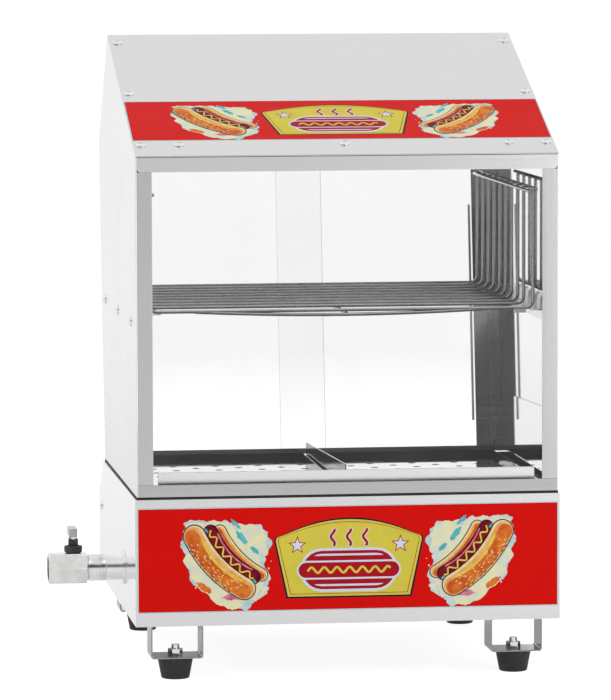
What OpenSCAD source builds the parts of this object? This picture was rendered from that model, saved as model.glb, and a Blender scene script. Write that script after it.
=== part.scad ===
// Countertop hot dog steamer cabinet.
// A steam base with a water pan, heating element and drain valve carries a glass-fronted cabinet.
// The cabinet holds two perforated sausage trays and a wire bun rack, and opens at the rear.
// Design frame: X to the right seen from the front, Y from the front face to the rear, Z up.
// Y is 0 on the front face and Z is 0 on the counter. in_frame() moves the whole machine so that
// the centre of its footprint, drain valve included, is the origin.

/* [Base] */
// Width of the base box
base_w = 424; // [380:1:460]
// Depth of the base box
base_d = 412; // [405:1:430]
// Height of the base box, without the feet
base_h = 126; // [122:1:140]
// Horizontal run of the slanted control panel at the rear
panel_run = 50; // [48:1:60]
// Height of the slanted control panel
panel_drop = 38; // [34:1:42]
// Thickness of the sheet metal
sheet = 1.2; // [1:0.1:1.5]

/* [Feet] */
// Height of the U-shaped foot brackets
bracket_h = 34; // [30:1:45]
// Width of a bracket, left to right
bracket_w = 52; // [46:1:60]
// Length of a bracket, front to rear
bracket_len = 40; // [38:1:50]
// Height of a rubber foot
foot_h = 21.5; // [15:0.5:25]
// Radius of a rubber foot at its top
foot_r_top = 18; // [15:0.5:19]
// Radius of a rubber foot on the counter
foot_r_bottom = 14; // [10:0.5:15]

/* [Cabinet] */
// Width of the glass-fronted cabinet
cabinet_w = 420; // [376:1:456]
// Height of the cabinet's front
cabinet_h = 336; // [320:1:360]
// Rise of the roof from the front edge to the ridge
roof_rise = 111; // [100:1:130]
// Distance of the ridge behind the front
ridge_y = 300; // [280:1:320]
// Depth of the cabinet at the top of the rear doors
rear_top_y = 408; // [400:1:412]
// Height of the front's top edge above the top of the rear doors' plane
rear_top_drop = 4; // [0:1:10]
// Width of the window's posts
post_w = 15; // [12:0.5:20]
// Height of the bar above the window
bar_top_h = 16; // [12:0.5:24]
// Height of the bar below the window
bar_bottom_h = 12; // [8:0.5:14]

/* [Food inserts] */
// Pitch of the holes in the sausage trays
hole_pitch = 44.5; // [40:0.5:48]
// Radius of the holes in the sausage trays
hole_r = 4; // [2.5:0.5:5]
// Height of the bun rack's rods above the gasket seam
rack_z = 184; // [160:1:200]
// Height of the bun rack's sides
rack_side_h = 118.5; // [80:0.5:120]
// Radius of the bun rack's rods
rod_r = 1.75; // [1.5:0.25:2]
// Number of U-shaped rods in the bun rack
rod_count = 10; // [8:1:14]

/* [Drain valve] */
// Height of the drain's axis above the bottom of the base
drain_z = 44.5; // [42:0.5:48]
// Distance of the drain's axis behind the front face
drain_y = 121; // [90:1:140]
// Length of the hexagonal valve body
valve_len = 40; // [40:1:44]
// Width of the valve body across its flats
valve_af = 30; // [29:0.5:32]

/* [Hidden] */
$fn = 64;

// Levels, from the counter up
base_z = foot_h + bracket_h;
seam_z = base_z + base_h;
gasket_h = 2.5;
cabinet_z = seam_z + gasket_h;
front_top_z = cabinet_z + cabinet_h;
ridge_z = front_top_z + roof_rise;
rear_top_z = front_top_z - rear_top_drop;

// Half widths of the base and the cabinet, outside and inside the sheet
base_x = base_w / 2;
base_in = base_x - sheet;
cab_x = cabinet_w / 2;
cab_in = cab_x - sheet;

// Thickness of the roof and hood sheets measured straight down
roof_angle = atan(roof_rise / ridge_y);
roof_drop = sheet / cos(roof_angle);
hood_angle = atan((ridge_z - rear_top_z) / (rear_top_y - ridge_y));
hood_drop = sheet / cos(hood_angle);
slope_len = sqrt(pow(roof_rise, 2) + pow(ridge_y, 2));

// The rear plane leans back as it rises from the top of the slanted control panel
rear_bottom_y = base_d - panel_run;
rear_run = rear_top_y - rear_bottom_y;
rear_rise = rear_top_z - cabinet_z;
rear_lean = atan(rear_run / rear_rise);
rear_len = sqrt(pow(rear_run, 2) + pow(rear_rise, 2));

// Slanted control panel
panel_len = sqrt(pow(panel_run, 2) + pow(panel_drop, 2));
panel_tilt = atan(panel_drop / panel_run);
panel_gap = 2;

// Water pan
pan_x = 188;
pan_front = 24;
pan_rear = 320;
pan_depth = 98;
pan_z = seam_z - pan_depth;

// Trays, divider and guard
tray_x_in = 3;
tray_x_out = 200;
tray_front = 18;
tray_rear = 334;
tray_wall = 7.6;
tray_floor = 1.4;
row_pitch = 0.4 * hole_pitch;
lip_t = 0.8;
divider_h = 30;
divider_drop = 10.5;
guard_h = 25.5;
guard_y = 12;

// Lining plates inside the cabinet's sides
liner_t = 1.2;
liner_front = 8;
liner_high = 78.5;
liner_low = 66.5;

// Bun rack
rack_x = 191;
rack_shift = -4;
rack_front = 16;
rack_rear = 358;
rack_level = seam_z + rack_z;
bend_r = 7;
first_gap = 54;
rod_pitch = (rack_rear - rack_front - first_gap) / (rod_count - 2);
rod_ys = [for (i = [0 : rod_count - 1])
    i == 0 ? rack_front : rack_front + first_gap + rod_pitch * (i - 1)];
rail_reach = rack_x - 12;
ledge_top = rack_level - rod_r - 0.1;
ledge_w = 25;
ledge_drop = 16;
ledge_front = 14;
ledge_rear = 360;
ledge_screw_y = [57, 200, 343];

// Rear doors and their tracks, measured in the leaning rear plane
rear_post_w = 22;
rear_bar_h = 7;
glass_t = 4;
door_slot = 5;
track_wall = 2;
track_d = 2 * door_slot + 3 * track_wall;
door_low = 3;
door_high = rear_len - 12;
door_overlap = 47;
door_x_out = cab_in - 6;
door_w = door_x_out + door_overlap / 2;
inner_slot_y = -sheet - track_d + track_wall;
outer_slot_y = inner_slot_y + door_slot + track_wall;
pull_t = 2.2;
pull_w = 2.5;
pull_in = 18;
pull_low = 34;
pull_len = 230;

// Feet
foot_x = base_x - 42;
foot_ys = [31, 371];
bolt_r = 4;
bracket_t = 1.5;
nut_h = 6.5;

// Drain and valve, along X on the left side
axis_z = base_z + drain_z;
pipe_r = 12.6;
pipe_bore = 9;
pipe_out = 19;
coupling_len = 18;
coupling_r = 13.6;
socket_r = 12.3;
socket_len = 14;
chamber_r = 12.1;
seat_t = 3;
seat_gap = 8.4;
ball_r = 11;
stem_r = 4;
valve_out = base_x + pipe_out + coupling_len + valve_len;
valve_in = valve_out - valve_len;
ball_x = valve_out - socket_len - seat_t - seat_gap;
valve_top = axis_z + valve_af / 2;

// Controls on the slanted panel, measured from its centre
knob_x = -110;
knob_r = 19;
knob_h = 15;
knob_lift = 1.5;
shaft_r = 3;
switch_x = 110;
switch_w = 22;
switch_l = 30;
rocker_pivot = -1.5;
rocker_tilt = 7;
rocker_pin_r = 1.2;
lamp_x = 40;
lamp_r = 5.5;

// Cord inlet in the rear wall
gland_x = 150;
gland_z = base_z + 34;
gland_out = 16;

// Rounding of the upper window bar's lower corners
corner_r = 4;

// Screw heads
head_r = 5;
head_h = 2.4;
base_screw_y = 381;

// Footprint, and the shift that puts its centre on the origin
x_right = base_x + head_h;
y_front = -0.5;
y_rear = base_d + gland_out;
origin_x = (valve_out - x_right) / 2;
origin_y = -(y_front + y_rear) / 2;

// ---- Placing helpers ----

// Moves a piece from the design frame to the machine's own frame
module in_frame()
    translate([origin_x, origin_y, 0])
        children();

// A piece and its mirror image on the other side
module both_sides() {
    children();
    mirror([1, 0, 0])
        children();
}

// A box between two corners
module block(low, high)
    translate(low)
        cube(high - low);

// A side profile in Y and Z, extruded along X between two places
module profile_x(x0, x1, points)
    translate([x0, 0, 0])
        rotate([90, 0, 90])
            linear_extrude(x1 - x0)
                polygon(points);

// Local Z is the slanted panel's outward normal and local Y runs down its slope
module on_panel(x = 0)
    translate([x, base_d - panel_run / 2, seam_z - panel_drop / 2])
        rotate([-panel_tilt, 0, 0])
            children();

// Local Z runs up the leaning rear plane and local Y is its outward normal
module in_rear_plane()
    translate([0, rear_bottom_y, cabinet_z])
        rotate([-rear_lean, 0, 0])
            children();

// Local Y runs up the roof and local Z is the roof's outward normal
module on_roof()
    translate([0, 0, front_top_z])
        rotate([roof_angle, 0, 0])
            children();

// Local Z points out of the left side, along the drain
module along_drain(x)
    translate([-x, drain_y, axis_z])
        rotate([0, -90, 0])
            children();

// A pan-head screw head with a cross recess, standing on local Z = 0
module screw_head() {
    difference() {
        intersection() {
            cylinder(r = head_r, h = head_h);
            translate([0, 0, head_h - 9])
                sphere(r = 9, $fn = 96);
        }
        for (turn = [0, 90])
            rotate([0, 0, turn])
                translate([-2.4, -0.5, head_h - 1.1])
                    cube([4.8, 1, 2]);
    }
}

// A quarter bend of round rod about the origin, from +X to +Y in the local plane
module quarter_bend(bend, r)
    rotate_extrude(angle = 90)
        translate([bend, 0])
            circle(r = r);

// A straight rod between two points that share two coordinates
module rod_x(x0, x1, y, z, r)
    translate([x0, y, z])
        rotate([0, 90, 0])
            cylinder(r = r, h = x1 - x0);

module rod_y(x, y0, y1, z, r)
    translate([x, y0, z])
        rotate([-90, 0, 0])
            cylinder(r = r, h = y1 - y0);

// ---- Base box ----

// Side outline of the base, slanted panel included
base_outline = [
    [sheet, base_z],
    [base_d - sheet, base_z],
    [base_d - sheet, seam_z - panel_drop + sheet * panel_drop / panel_run],
    [rear_bottom_y, seam_z],
    [sheet, seam_z]
];

module base_front()
    color("silver")
        block([-base_x, 0, base_z], [base_x, sheet, seam_z]);

module base_sides()
    color("silver")
        difference() {
            both_sides()
                profile_x(base_in, base_x, base_outline);
            along_drain(base_x - sheet - 1)
                cylinder(r = pipe_r + 0.1, h = sheet + 2);
        }

module base_rear()
    color("silver")
        difference() {
            block([-base_x, base_d - sheet, base_z], [base_x, base_d, seam_z - panel_drop]);
            rod_y(gland_x, base_d - sheet - 1, base_d + 1, gland_z, 8.1);
        }

// Deck that closes the base around the water pan
module base_top()
    color("gainsboro")
        difference() {
            block([-base_in, sheet, seam_z - sheet], [base_in, rear_bottom_y - 0.5, seam_z]);
            block([-pan_x - sheet, pan_front - sheet, seam_z - 2 * sheet],
                  [pan_x + sheet, pan_rear + sheet, seam_z + sheet]);
        }

module base_floor()
    color("gainsboro")
        difference() {
            block([-base_in, sheet, base_z], [base_in, base_d - sheet, base_z + sheet]);
            for (x = [-80, 0, 80], y = [150, 180, 210])
                translate([x - 20, y, base_z - 1])
                    cube([40, 4, sheet + 2]);
        }

module control_panel()
    color("silver")
        difference() {
            on_panel()
                translate([-base_in, -panel_len / 2 + panel_gap, -sheet])
                    cube([2 * base_in, panel_len - 2 * panel_gap, sheet]);
            on_panel(knob_x)
                translate([0, 0, -5])
                    cylinder(r = 5.2, h = 10);
            on_panel(lamp_x)
                translate([0, 0, -5])
                    cylinder(r = lamp_r - 1, h = 10);
            on_panel(switch_x)
                translate([-switch_w / 2 + 1.5, -switch_l / 2 + 1.5, -5])
                    cube([switch_w - 3, switch_l - 3, 10]);
        }

// Screw heads on the base sides and along the rear wall
// Screws through the base's sides and rear, and through the cabinet's sides into the rack's ledges
module side_screws()
    color("dimgray") {
        both_sides() {
            translate([base_x, base_screw_y, seam_z - 50])
                rotate([0, 90, 0])
                    screw_head();
            for (y = ledge_screw_y)
                translate([cab_x, y, seam_z + 172])
                    rotate([0, 90, 0])
                        screw_head();
        }
        for (x = [-190, -64, 64, 190])
            translate([x, base_d, base_z + 12])
                rotate([-90, 0, 0])
                    screw_head();
    }

module base_banner()
    color("red")
        block([-base_x + 2, y_front, base_z + 13.5], [base_x - 2, 0, seam_z - 8.5]);

// ---- Feet ----

module at_feet()
    for (side = [-1, 1], y = foot_ys)
        translate([side * foot_x, y, 0])
            children();

module foot_brackets()
    color("silver")
        at_feet()
            difference() {
                translate([-bracket_w / 2, -bracket_len / 2, foot_h])
                    cube([bracket_w, bracket_len, bracket_h]);
                translate([-bracket_w / 2 + bracket_t, -bracket_len, foot_h + bracket_t])
                    cube([bracket_w - 2 * bracket_t, 2 * bracket_len, bracket_h - 2 * bracket_t]);
                translate([-bracket_w / 2 + 10, -bracket_len, foot_h + bracket_t])
                    cube([bracket_w - 20, 2 * bracket_len, bracket_h]);
                translate([0, 0, foot_h - 1])
                    cylinder(r = bolt_r + 0.2, h = bracket_t + 2);
            }

// Outline of the moulded-in bolt: a flat head low in the rubber and a shank up through the bracket
module foot_bolt(slack)
    translate([0, 0, foot_h / 3]) {
        cylinder(r = 6.5 + slack, h = 5);
        cylinder(r = bolt_r + slack, h = foot_h * 2 / 3 + bracket_t + nut_h + 4);
    }

module rubber_feet()
    color("dimgray")
        at_feet()
            difference() {
                cylinder(r1 = foot_r_bottom, r2 = foot_r_top, h = foot_h);
                foot_bolt(0.05);
            }

module foot_bolts()
    color("gray")
        at_feet()
            foot_bolt(0);

module foot_nuts()
    color("gray")
        at_feet()
            translate([0, 0, foot_h + bracket_t])
                difference() {
                    cylinder(d = 15, h = nut_h, $fn = 6);
                    translate([0, 0, -1])
                        cylinder(r = bolt_r + 0.05, h = nut_h + 2);
                }

// ---- Water pan, element and drain ----

module water_pan()
    color("lightsteelblue")
        difference() {
            block([-pan_x - sheet, pan_front - sheet, pan_z - sheet],
                  [pan_x + sheet, pan_rear + sheet, seam_z]);
            block([-pan_x, pan_front, pan_z], [pan_x, pan_rear, seam_z + 1]);
            along_drain(pan_x - 1)
                cylinder(r = pipe_r + 0.1, h = sheet + 2);
            for (x = [-15, 15])
                rod_y(x, pan_rear - 1, pan_rear + sheet + 1, pan_z + 18, 4.1);
        }

module pan_gasket()
    color("black")
        difference() {
            block([-cab_x, 0, seam_z], [cab_x, rear_bottom_y - 0.5, cabinet_z]);
            block([-cab_x + 7, 7, seam_z - 1], [cab_x - 7, rear_bottom_y - 17, cabinet_z + 1]);
        }

// Half of the tubular element: a neck through the rear wall, then a wide loop
module element_half(r) {
    z = pan_z + 18;
    bend = 15;
    rod_y(15, pan_rear - 8, pan_rear + 30, z, r);
    translate([30, pan_rear - 8, z])
        rotate([0, 0, 180])
            quarter_bend(bend, r);
    rod_x(30, 95, pan_rear - 8 - bend, z, r);
    translate([95, pan_rear - 8 - 2 * bend, z])
        quarter_bend(bend, r);
    rod_y(110, 75, pan_rear - 8 - 2 * bend, z, r);
    translate([95, 75, z])
        rotate([0, 0, -90])
            quarter_bend(bend, r);
    rod_x(0, 95, 60, z, r);
}

module heating_element()
    color("slategray")
        both_sides()
            element_half(4);

// Flange behind the pan's rear wall that seals the element's two legs
module element_flange()
    color("goldenrod")
        difference() {
            block([-28, pan_rear + sheet, pan_z + 6], [28, pan_rear + sheet + 6, pan_z + 30]);
            for (x = [-15, 15])
                rod_y(x, pan_rear, pan_rear + 10, pan_z + 18, 4.05);
        }

module drain_pipe()
    color("silver")
        along_drain(pan_x - 8)
            difference() {
                cylinder(r = pipe_r, h = base_x + pipe_out - pan_x + 8);
                translate([0, 0, -1])
                    cylinder(r = pipe_bore, h = base_x + pipe_out - pan_x + 10);
            }

// A ring outside the base's side, a locknut behind the side and one inside the pan
module drain_collars()
    color("gainsboro") {
        along_drain(base_x)
            difference() {
                cylinder(r = 17.5, h = 2.5);
                translate([0, 0, -1])
                    cylinder(r = pipe_r + 0.1, h = 5);
            }
        along_drain(pan_x + sheet)
            difference() {
                cylinder(d = 36, h = 5, $fn = 6);
                translate([0, 0, -1])
                    cylinder(r = pipe_r + 0.1, h = 8);
            }
    }

module drain_coupling()
    color("gray")
        along_drain(base_x + pipe_out)
            difference() {
                cylinder(r = coupling_r, h = coupling_len);
                translate([0, 0, -1])
                    cylinder(r = pipe_bore, h = coupling_len + 2);
            }

// Hexagonal ball valve body: outlet socket, ball chamber and stem hole
module valve_body()
    color("gray")
        difference() {
            along_drain(valve_in)
                rotate([0, 0, 30])
                    cylinder(r = valve_af / sqrt(3), h = valve_len, $fn = 6);
            along_drain(valve_in - 1)
                cylinder(r = pipe_bore, h = valve_len + 2);
            along_drain(ball_x - seat_gap - seat_t)
                cylinder(r = chamber_r, h = valve_len);
            along_drain(valve_out - socket_len)
                cylinder(r = socket_r, h = valve_len);
            translate([-ball_x, drain_y, axis_z])
                cylinder(r = stem_r + 0.05, h = valve_af);
        }

module valve_seats()
    color("white")
        for (x = [ball_x - seat_gap - seat_t, ball_x + seat_gap])
            along_drain(x)
                difference() {
                    cylinder(r = chamber_r - 0.05, h = seat_t);
                    translate([0, 0, -1])
                        cylinder(r = 7.5, h = seat_t + 2);
                }

// Bored ball on its stem. The bore lies across the pipe, so the drain rests closed
module valve_ball()
    color("gainsboro")
        translate([-ball_x, drain_y, axis_z])
            difference() {
                union() {
                    sphere(r = ball_r, $fn = 96);
                    cylinder(r = stem_r, h = valve_af / 2 + 18);
                }
                rotate([90, 0, 0])
                    cylinder(r = 7, h = 3 * ball_r, center = true);
            }

// Black collar and neck that grip the stem
module valve_lever()
    color("black")
        translate([-ball_x, drain_y, valve_top + 0.3])
            difference() {
                union() {
                    cylinder(r = 8.7, h = 7.4);
                    translate([-4.6, -5, 7.4])
                        cube([9.2, 14, 8.6]);
                }
                translate([0, 0, -1])
                    cylinder(r = stem_r + 0.05, h = 30);
            }

// Bright lever arm, pointing to the rear when the valve is shut
module valve_handle()
    color("silver")
        translate([-ball_x, drain_y, valve_top + 0.3 + 16])
            difference() {
                union() {
                    translate([-5.8, -6, 0])
                        cube([11.6, 36, 6]);
                    translate([0, 30, 0])
                        cylinder(r = 5.8, h = 6);
                }
                translate([0, 0, -1])
                    cylinder(r = stem_r + 0.05, h = 10);
            }

module valve_screw()
    color("dimgray")
        translate([-ball_x, drain_y, valve_top + 0.3 + 22])
            screw_head();

// ---- Controls ----

module thermostat_body()
    color("ivory")
        on_panel(knob_x)
            difference() {
                union() {
                    translate([-17, -17, -sheet - 26])
                        cube([34, 34, 26]);
                    translate([0, 0, -sheet])
                        cylinder(r = 5, h = sheet + 1.2);
                }
                translate([0, 0, -sheet - 12])
                    cylinder(r = shaft_r + 0.05, h = 20);
            }

module thermostat_shaft()
    color("gray")
        on_panel(knob_x)
            translate([0, 0, -sheet - 11])
                cylinder(r = shaft_r, h = 11 + sheet + knob_lift + 9);

// Dial knob with a gripping bar across its top
module thermostat_knob()
    color("black")
        on_panel(knob_x)
            translate([0, 0, knob_lift])
                difference() {
                    union() {
                        cylinder(r = knob_r, h = 4);
                        translate([0, 0, 4])
                            cylinder(r1 = knob_r - 3, r2 = knob_r - 5, h = knob_h - 4);
                    }
                    for (side = [-1, 1])
                        translate([side * 11 - 6, -knob_r, 6])
                            cube([12, 2 * knob_r, knob_h]);
                    translate([0, 0, -1])
                        cylinder(r = shaft_r + 0.05, h = 10.3);
                }

// Bezel and body of the rocker switch
module switch_housing()
    color("black")
        on_panel(switch_x)
            difference() {
                union() {
                    translate([-switch_w / 2, -switch_l / 2, 0])
                        cube([switch_w, switch_l, 2]);
                    translate([-switch_w / 2 + 1.7, -switch_l / 2 + 1.7, -22])
                        cube([switch_w - 3.4, switch_l - 3.4, 22]);
                }
                translate([-switch_w / 2 + 3, -switch_l / 2 + 3, -6])
                    cube([switch_w - 6, switch_l - 6, 20]);
                rod_x(-switch_w / 2 + 2, switch_w / 2 - 2, 0, rocker_pivot, rocker_pin_r + 0.06);
            }

// Rocker: a shallow V on a pivot pin, resting with its rear half down
module switch_rocker()
    color("darkred")
        on_panel(switch_x)
            translate([0, 0, rocker_pivot])
                rotate([-rocker_tilt, 0, 0]) {
                    profile_x(-switch_w / 2 + 3.5, switch_w / 2 - 3.5,
                              [[-11, -2], [11, -2], [11, 5.5], [0, 4.1], [-11, 5.5]]);
                    rod_x(-switch_w / 2 + 2.1, switch_w / 2 - 2.1, 0, 0, rocker_pin_r);
                }

module pilot_lamp()
    color("orange")
        on_panel(lamp_x) {
            translate([0, 0, -20])
                cylinder(r = lamp_r - 1.2, h = 20);
            cylinder(r = lamp_r, h = 1.5);
            translate([0, 0, 1.5])
                cylinder(r1 = lamp_r - 1, r2 = lamp_r - 2, h = 3);
        }

// Cord inlet: body in the rear wall, dome nut outside and locknut inside
module cable_gland()
    color("black")
        difference() {
            union() {
                rod_y(gland_x, base_d - sheet - 8, base_d + 1, gland_z, 8);
                translate([gland_x, base_d, gland_z])
                    rotate([-90, 0, 0]) {
                        cylinder(d = 24, h = 6, $fn = 6);
                        translate([0, 0, 6])
                            cylinder(r1 = 10, r2 = 7, h = gland_out - 6);
                    }
                translate([gland_x, base_d - sheet - 5, gland_z])
                    rotate([-90, 0, 0])
                        cylinder(d = 24, h = 5, $fn = 6);
            }
            rod_y(gland_x, base_d - 20, base_d + gland_out + 1, gland_z, 4.2);
        }

module terminal_block()
    color("ivory")
        difference() {
            block([60, 356, base_z + sheet], [120, 374, base_z + sheet + 16]);
            for (i = [0 : 4])
                translate([66 + 12 * i, 365, base_z + sheet + 6])
                    cylinder(r = 2.6, h = 20);
        }

// ---- Food inserts ----

// Cylinders at the places of a tray's holes, in staggered rows
module tray_holes(z, h, r) {
    rows = floor((tray_rear - tray_front - 26) / row_pitch);
    cols = floor((tray_x_out - tray_x_in - 19) / hole_pitch);
    for (row = [0 : rows], col = [0 : cols - 1 + row % 2])
        translate([
            tray_x_in + 11 + hole_pitch * (col + (row + 1) % 2 / 2),
            tray_rear - 13 - row_pitch * row,
            z
        ])
            cylinder(r = r, h = h, $fn = 32);
}

// One tray with edges turned up and down round a raised floor, its holes drawn downwards, on the right
module tray() {
    z = seam_z + 0.1;
    wall = 1;
    difference() {
        union() {
            difference() {
                block([tray_x_in, tray_front, z], [tray_x_out, tray_rear, z + tray_wall]);
                block([tray_x_in + wall, tray_front + wall, z + tray_floor + wall],
                      [tray_x_out - wall, tray_rear - wall, z + tray_wall + 1]);
                block([tray_x_in + wall, tray_front + wall, z - 1],
                      [tray_x_out - wall, tray_rear - wall, z + tray_floor]);
            }
            tray_holes(z + 0.2, tray_floor, hole_r + lip_t);
        }
        tray_holes(z - 1, tray_floor + 3, hole_r);
    }
}

module tray_right()
    color("silver")
        tray();

module tray_left()
    color("silver")
        mirror([1, 0, 0])
            tray();

// Upright divider between the trays, on a foot that bridges the pan, lower towards the rear
module tray_divider()
    color("gainsboro") {
        profile_x(-0.6, 0.6, [
            [tray_front + 4, seam_z],
            [tray_rear - 4, seam_z],
            [tray_rear - 4, seam_z + divider_h - divider_drop],
            [tray_front + 4, seam_z + divider_h]
        ]);
        block([-1.8, pan_front - 5, seam_z], [1.8, tray_front + 8, seam_z + 2]);
        block([-1.8, tray_rear - 20, seam_z], [1.8, pan_rear + 8, seam_z + 2]);
    }

// Low guard across the front of both trays
module front_guard()
    color("silver") {
        block([-188, guard_y, seam_z], [188, guard_y + 1, seam_z + guard_h]);
        block([-188, guard_y + 1, seam_z], [188, guard_y + 5, seam_z + 1]);
    }

// Floor of the bun rack: straight rods along X, a rail under their middle, a stiffening rod under
// the first and last, and a lug that keeps the rack between its ledges
module rack_floor()
    color("gray")
        translate([rack_shift, 0, 0]) {
            for (y = rod_ys)
                rod_x(-rack_x + bend_r, rack_x - bend_r, y, rack_level, rod_r);
            rod_y(-rack_shift, rack_front + 1, rack_rear - 1, rack_level - 2 * rod_r + 0.4, rod_r);
            for (y = [rack_front, rack_rear])
                rod_x(-rail_reach, rail_reach, y, rack_level - 2 * rod_r + 0.2, rod_r);
            block([rack_x - 18.5, rack_front - 2, rack_level - 5],
                  [rack_x - 7.2, rack_front + 2, rack_level - 1]);
        }

// Sides of the bun rack: the rods bend up and carry a rail at either side of their tops
module rack_side() {
    for (y = rod_ys)
        translate([rack_x - bend_r, y, rack_level + bend_r]) {
            rotate([90, 0, 0])
                rotate([0, 0, -90])
                    quarter_bend(bend_r, rod_r);
            translate([bend_r, 0, 0])
                cylinder(r = rod_r, h = rack_side_h - bend_r);
        }
    for (side = [-1, 1])
        rod_y(rack_x + side * (2 * rod_r - 0.4), rack_front - 2, rack_rear + 2,
              rack_level + rack_side_h - 2 + side * 1.2, rod_r);
}

module rack_sides()
    color("gray")
        translate([rack_shift, 0, 0])
            both_sides()
                rack_side();

// Angle ledges that carry the bun rack, screwed to the cabinet's sides
module rack_ledges()
    color("silver")
        both_sides() {
            block([cab_in - ledge_w, ledge_front, ledge_top - 1.2], [cab_in, ledge_rear, ledge_top]);
            block([cab_in - 1.2, ledge_front, ledge_top - ledge_drop],
                  [cab_in, ledge_rear, ledge_top - 1.2]);
        }

// ---- Cabinet shell ----

module cabinet_sides()
    color("lightgray")
        both_sides()
            profile_x(cab_in, cab_x, [
                [0, cabinet_z],
                [rear_bottom_y, cabinet_z],
                [rear_top_y, rear_top_z - hood_drop],
                [ridge_y, ridge_z - hood_drop],
                [0, front_top_z - roof_drop]
            ]);

// Plates that line the lower part of the cabinet's sides, notched at the door track
module side_liners()
    color("silver")
        both_sides()
            profile_x(cab_in - liner_t, cab_in, [
                [liner_front, cabinet_z + 0.3],
                [rear_bottom_y - track_d - 2.5, cabinet_z + 0.3],
                [rear_bottom_y - track_d - 2.5, cabinet_z + 9.6],
                [rear_bottom_y + 12.5 * tan(rear_lean) - 2.2, cabinet_z + 12.5],
                [rear_bottom_y + liner_low * tan(rear_lean) - 2.2, cabinet_z + liner_low],
                [liner_front, cabinet_z + liner_high]
            ]);

module roof_panel()
    color("silver")
        profile_x(-cab_x, cab_x, [
            [0, front_top_z - roof_drop],
            [ridge_y, ridge_z - roof_drop],
            [ridge_y, ridge_z],
            [0, front_top_z]
        ]);

module rear_hood()
    color("silver")
        profile_x(-cab_x, cab_x, [
            [ridge_y, ridge_z - hood_drop],
            [rear_top_y, rear_top_z - hood_drop],
            [rear_top_y, rear_top_z],
            [ridge_y, ridge_z]
        ]);

// Window posts, between the bars above and below the window
module front_posts()
    color("silver")
        both_sides()
            block([cab_in - post_w, 0, cabinet_z + bar_bottom_h],
                  [cab_in, sheet, front_top_z - bar_top_h]);

// Bar above the window, with its lower corners rounded
module front_bar_top()
    color("silver") {
        block([-cab_in, 0, front_top_z - bar_top_h + corner_r],
              [cab_in, sheet, front_top_z - roof_drop - 0.5]);
        block([-cab_in + corner_r, 0, front_top_z - bar_top_h],
              [cab_in - corner_r, sheet, front_top_z - bar_top_h + corner_r]);
        both_sides()
            intersection() {
                rod_y(cab_in - corner_r, 0, sheet, front_top_z - bar_top_h + corner_r, corner_r);
                block([cab_in - corner_r, 0, front_top_z - bar_top_h],
                      [cab_in, sheet, front_top_z - bar_top_h + corner_r]);
            }
    }

module front_bar_bottom()
    color("silver")
        block([-cab_in, 0, cabinet_z], [cab_in, sheet, cabinet_z + bar_bottom_h]);

module front_glass()
    color("lightcyan", 0.4)
        block([-cab_in + 4, sheet + 0.2, cabinet_z + 2],
              [cab_in - 4, sheet + 0.2 + glass_t, front_top_z - 6]);

// Strips that hold the glass against the posts
module glass_retainers()
    color("gray")
        both_sides()
            block([cab_in - 12, sheet + glass_t + 0.4, cabinet_z + 1],
                  [cab_in, sheet + glass_t + 1.6, front_top_z - 8]);

// ---- Rear frame and sliding doors ----

module rear_posts()
    color("silver")
        in_rear_plane()
            both_sides()
                block([cab_in - rear_post_w, -sheet, 1], [cab_in, 0, rear_len - 4]);

module rear_bar_bottom()
    color("silver")
        in_rear_plane()
            block([-cab_in + rear_post_w, -sheet, 1], [cab_in - rear_post_w, 0, rear_bar_h]);

module rear_bar_top()
    color("silver")
        in_rear_plane()
            block([-cab_in + rear_post_w, -sheet, rear_len - 24],
                  [cab_in - rear_post_w, 0, rear_len - 4]);

// Twin-groove track, open upwards from z0
module track(z0, z1, floor_t) {
    difference() {
        block([-cab_in, -sheet - track_d, z0], [cab_in, -sheet, z1]);
        for (y = [inner_slot_y, outer_slot_y])
            block([-cab_in - 1, y, z0 + floor_t], [cab_in + 1, y + door_slot, z1 + 1]);
    }
}

module track_bottom()
    color("lightgray")
        in_rear_plane()
            track(1, 6.1, 1.8);

// The top track is the bottom one turned over, with grooves deep enough to lift a door out
module track_top()
    color("lightgray")
        in_rear_plane()
            translate([0, 0, 2 * rear_len - 24])
                mirror([0, 0, 1])
                    track(rear_len - 20, rear_len - 2, 2);

// A glass door in the groove at slot_y, drawn on the left
module door(slot_y)
    in_rear_plane()
        block([-door_x_out, slot_y + 0.5, door_low],
              [-door_x_out + door_w, slot_y + 0.5 + glass_t, door_high]);

module door_left()
    color("lightcyan", 0.5)
        door(inner_slot_y);

module door_right()
    color("lightcyan", 0.5)
        mirror([1, 0, 0])
            door(outer_slot_y);

// A slim finger strip on the outer face of a door, near its outer edge
module pull(slot_y)
    in_rear_plane()
        translate([-door_x_out + pull_in, slot_y + 0.5 + glass_t, pull_low])
            cube([pull_w, pull_t, pull_len]);

module pull_left()
    color("dimgray")
        pull(inner_slot_y);

module pull_right()
    color("dimgray")
        mirror([1, 0, 0])
            pull(outer_slot_y);

// ---- Roof trim ----

module roof_banner()
    color("red")
        on_roof()
            block([-cab_x + 0.5, 38, 0], [cab_x - 0.5, 137.5, 0.5]);

module roof_screws()
    color("dimgray")
        on_roof() {
            for (x = [-cab_x + 8, -cab_x + 46, 0, cab_x - 46, cab_x - 8])
                translate([x, 0.085 * slope_len, 0])
                    screw_head();
            for (side = [-1, 1], up = [0.5, 0.93])
                translate([side * (cab_x - 8), up * slope_len, 0])
                    screw_head();
        }

// ---- Every sub-part by name ----

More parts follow.
